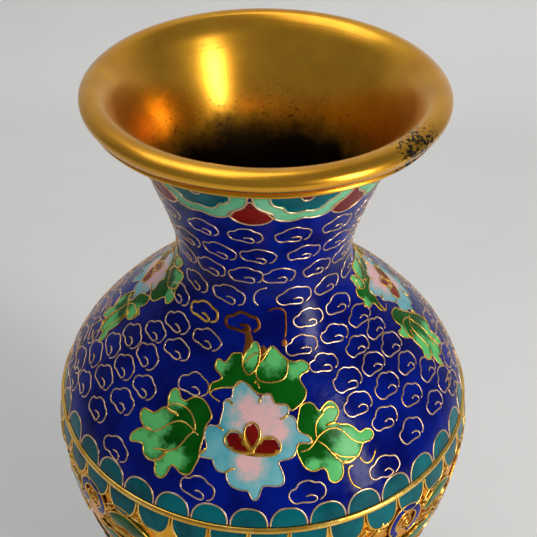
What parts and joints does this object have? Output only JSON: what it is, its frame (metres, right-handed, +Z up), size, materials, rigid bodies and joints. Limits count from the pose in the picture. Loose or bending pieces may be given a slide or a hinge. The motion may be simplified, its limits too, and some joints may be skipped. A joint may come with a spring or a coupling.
{
  "type": "cloisonne vase",
  "caption": "Flared-mouth baluster vase in cloisonne enamel: spun copper body, gilt mouth, belly and foot rings, cobalt ground with flower sprays and a ruyi collar.",
  "frame": {"origin": "centre of the foot ring's underside, on the surface the vase stands on", "axes": "+Z up along the turning axis, -Y towards the front flower spray"},
  "size_m": [0.0756, 0.0756, 0.15],
  "materials": {
    "gilt_brass": "satin gilt",
    "gilt_wire": "polished gilt",
    "copper": "dull oxidised copper",
    "cobalt_enamel": "gloss",
    "teal_enamel": "gloss",
    "mint_enamel": "gloss",
    "red_enamel": "gloss",
    "leaf_enamel": "gloss",
    "petal_enamel": "gloss"
  },
  "bodies": {
    "root": {"base_enamel": "cobalt_enamel", "base_plate": "copper", "belly_band": "gilt_brass", "belly_scroll_1": "cobalt_enamel", "belly_scroll_2": "cobalt_enamel", "belly_scroll_3": "cobalt_enamel", "belly_scroll_4": "cobalt_enamel", "belly_scroll_5": "cobalt_enamel", "belly_scroll_6": "cobalt_enamel", "belly_scroll_7": "cobalt_enamel", "belly_scroll_8": "cobalt_enamel", "collar_lappet_1": "mint_enamel", "collar_lappet_2": "mint_enamel", "collar_lappet_3": "mint_enamel", "collar_lappet_4": "mint_enamel", "collar_lappet_5": "mint_enamel", "collar_lappet_6": "mint_enamel", "collar_lappet_7": "mint_enamel", "collar_lappet_8": "mint_enamel", "collar_segment_1": "red_enamel", "collar_segment_2": "red_enamel", "collar_segment_3": "red_enamel", "collar_segment_4": "red_enamel", "collar_segment_5": "red_enamel", "collar_segment_6": "red_enamel", "collar_segment_7": "red_enamel", "collar_segment_8": "red_enamel", "copper_foot": "copper", "copper_lower_body": "copper", "copper_neck": "gilt_brass", "copper_shoulder": "copper", "foot_border_ring": "gilt_wire", "foot_collar": "mint_enamel", "foot_enamel": "teal_enamel", "foot_ring": "gilt_brass", "lower_ground": "cobalt_enamel", "lower_ring": "gilt_wire", "mouth_ring": "gilt_brass", "scallops_over_lower_ring": "teal_enamel", "scallops_over_shoulder_ring": "teal_enamel", "scallops_under_lower_ring": "teal_enamel", "scallops_under_shoulder_ring": "teal_enamel", "shoulder_ring": "gilt_wire", "spray_1_calyx": "leaf_enamel", "spray_2_calyx": "leaf_enamel", "spray_3_calyx": "leaf_enamel", "spray_1_flower": "petal_enamel", "spray_2_flower": "petal_enamel", "spray_3_flower": "petal_enamel", "spray_1_left_leaf": "leaf_enamel", "spray_2_left_leaf": "leaf_enamel", "spray_3_left_leaf": "leaf_enamel", "spray_1_right_leaf": "leaf_enamel", "spray_2_right_leaf": "leaf_enamel", "spray_3_right_leaf": "leaf_enamel", "spray_1_stamens": "red_enamel", "spray_2_stamens": "red_enamel", "spray_3_stamens": "red_enamel", "upper_ground": "cobalt_enamel"}
  },
  "joints": []
}
